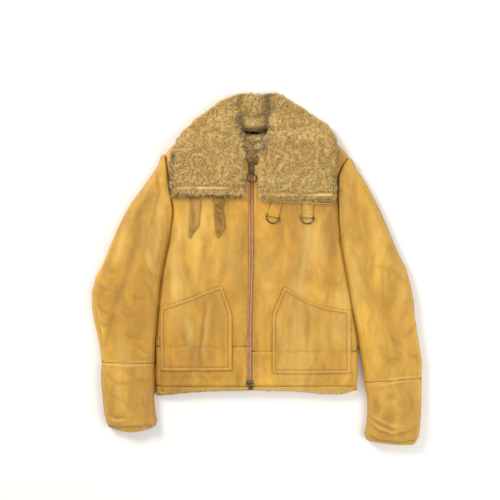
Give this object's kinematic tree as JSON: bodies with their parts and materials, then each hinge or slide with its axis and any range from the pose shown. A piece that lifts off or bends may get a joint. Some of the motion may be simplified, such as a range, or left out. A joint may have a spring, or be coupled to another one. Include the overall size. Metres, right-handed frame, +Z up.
{
  "type": "shearling flight jacket, laid flat",
  "caption": "Tan leather shearling jacket laid flat, front up, with a spread wool collar, front zip, patch pockets, throat straps and metal D-rings.",
  "frame": {"origin": "on the surface that the jacket lies on, below the middle of its outline seen from above", "axes": "+X across the jacket to the right seen from above, +Y from the hem towards the collar, +Z up out of the surface; the jacket lies on its back, front up"},
  "size_m": [0.782, 0.832, 0.0641],
  "materials": {
    "leather": "golden tan waxed sheepskin, semi-gloss, with fine grain and browner wear in the folds",
    "leather_trim": "golden tan leather strip, darker along its edges",
    "wool": "curly camel sheep wool, matt, brown between the locks",
    "zip_tape": "faded orange cotton zip tape, matt",
    "zip_teeth": "worn pinkish grey metal teeth",
    "metal": "darkened grey metal, worn bright on its edges",
    "neck_tape": "plain black woven tape"
  },
  "bodies": {
    "jacket": {"front_left": "leather", "front_right": "leather", "waistband_left": "leather", "waistband_right": "leather", "sleeve_left_under": "leather", "sleeve_left_top": "leather", "sleeve_right_under": "leather", "sleeve_right_top": "leather", "cuff_left_under": "leather", "cuff_left_top": "leather", "cuff_right_under": "leather", "cuff_right_top": "leather", "pocket_left": "leather", "pocket_right": "leather", "back_panel": "leather", "hem_binding_back": "leather_trim", "hem_binding_left": "leather_trim", "hem_binding_right": "leather_trim", "strap_left_a": "leather_trim", "strap_left_b": "leather_trim", "tab_right_a": "leather_trim", "tab_right_b": "leather_trim", "collar": "wool", "neck_tape": "neck_tape", "zip_tape_left": "zip_tape", "zip_tape_right": "zip_tape", "zip_teeth": "zip_teeth", "zip_slider": "metal", "zip_stud": "metal"},
    "pull": {"zip_pull": "metal"},
    "ring_a": {"ring_right_a": "metal"},
    "ring_b": {"ring_right_b": "metal"}
  },
  "joints": [
    {"name": "pull_swing", "type": "hinge", "parent": "jacket", "child": "pull", "pos_m": [-0.01236, 0.223, 0.0365], "axis": [-1, 0, 0], "range_deg": [0, 115]},
    {"name": "ring_a_swing", "type": "hinge", "parent": "jacket", "child": "ring_a", "pos_m": [0.03855, 0.124, 0.03803], "axis": [-0.9683, 0.2495, 0.0127], "range_deg": [0, 160]},
    {"name": "ring_b_swing", "type": "hinge", "parent": "jacket", "child": "ring_b", "pos_m": [0.11811, 0.123, 0.03613], "axis": [-0.9977, 0.0588, 0.0328], "range_deg": [0, 160]}
  ]
}
